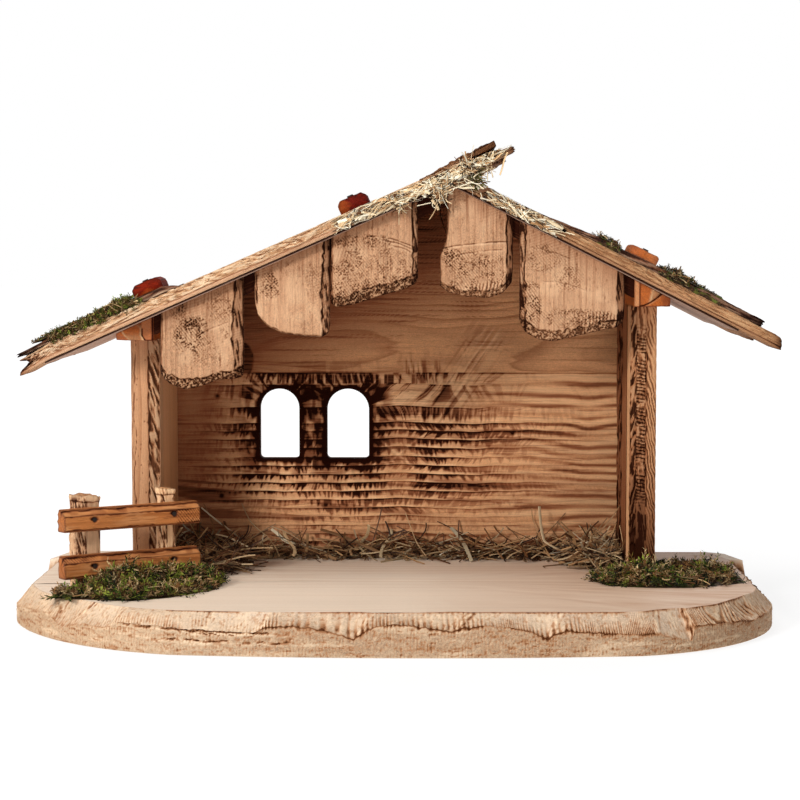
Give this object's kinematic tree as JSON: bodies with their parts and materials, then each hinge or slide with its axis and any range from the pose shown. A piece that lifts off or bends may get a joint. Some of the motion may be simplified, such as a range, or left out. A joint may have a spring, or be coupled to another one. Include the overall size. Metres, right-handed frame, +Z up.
{
  "type": "nativity stable",
  "caption": "Wooden toy stable with an open front, board roof with battens, hanging gable shingles, arched back windows and a small rail fence on a thick carved base.",
  "frame": {"origin": "middle of the object's box, on the surface that the base rests on", "axes": "+Z up, +X to the right seen from the open front, +Y from the open front to the back wall"},
  "size_m": [0.368, 0.21, 0.233],
  "materials": {
    "base_spruce": "pale planed spruce with rough sawn and carved edge",
    "shingle_spruce": "pale rough sawn spruce",
    "wall_spruce": "brown stained spruce, scorched in bands",
    "post_spruce": "tan spruce with bark-like carved corners",
    "stained_spruce": "orange-brown stain with dark burnt edges",
    "sheathing": "thin grey-brown sheathing",
    "roof_board": "rough sawn natural boards",
    "dark_stained_wood": "dark reddish-brown stain",
    "moss": "dried natural moss",
    "straw": "dry straw stalks",
    "steel": "plain steel wire and screws"
  },
  "bodies": {
    "root": {"back_wall_lower": "wall_spruce", "back_wall_upper": "wall_spruce", "base_board": "base_spruce", "base_screws": "steel", "batten_nails": "steel", "fence_left_post": "stained_spruce", "fence_lower_rail": "stained_spruce", "fence_nails": "steel", "fence_right_post": "stained_spruce", "fence_upper_rail": "stained_spruce", "left_cover_board_1": "dark_stained_wood", "left_cover_board_2": "dark_stained_wood", "left_cover_board_3": "dark_stained_wood", "left_front_post": "post_spruce", "left_gable_rafter": "wall_spruce", "left_lower_batten": "dark_stained_wood", "left_roof_board_1": "roof_board", "left_roof_board_2": "roof_board", "left_roof_board_3": "roof_board", "left_roof_board_4": "roof_board", "left_roof_panel": "sheathing", "left_side_wall": "wall_spruce", "left_upper_batten": "dark_stained_wood", "left_wall_plate": "stained_spruce", "moss_base_left": "moss", "moss_base_right": "moss", "moss_roof_left": "moss", "moss_roof_right": "moss", "moss_roof_top": "moss", "plate_pins": "steel", "ridge_cap_board": "dark_stained_wood", "right_batten": "dark_stained_wood", "right_cover_board_1": "dark_stained_wood", "right_cover_board_2": "dark_stained_wood", "right_cover_board_3": "dark_stained_wood", "right_front_post": "post_spruce", "right_gable_rafter": "wall_spruce", "right_roof_board_1": "roof_board", "right_roof_board_2": "roof_board", "right_roof_board_3": "roof_board", "right_roof_board_4": "roof_board", "right_roof_panel": "sheathing", "right_side_wall": "wall_spruce", "right_wall_plate": "stained_spruce", "roof_pins": "steel", "shingle_1": "shingle_spruce", "shingle_2": "shingle_spruce", "shingle_3": "shingle_spruce", "shingle_4": "shingle_spruce", "shingle_5": "shingle_spruce", "straw_edge_left": "straw", "straw_edge_right": "straw", "straw_floor_back": "straw", "straw_floor_left": "straw", "straw_floor_right": "straw", "straw_ridge": "straw", "wall_pins": "steel"}
  },
  "joints": []
}
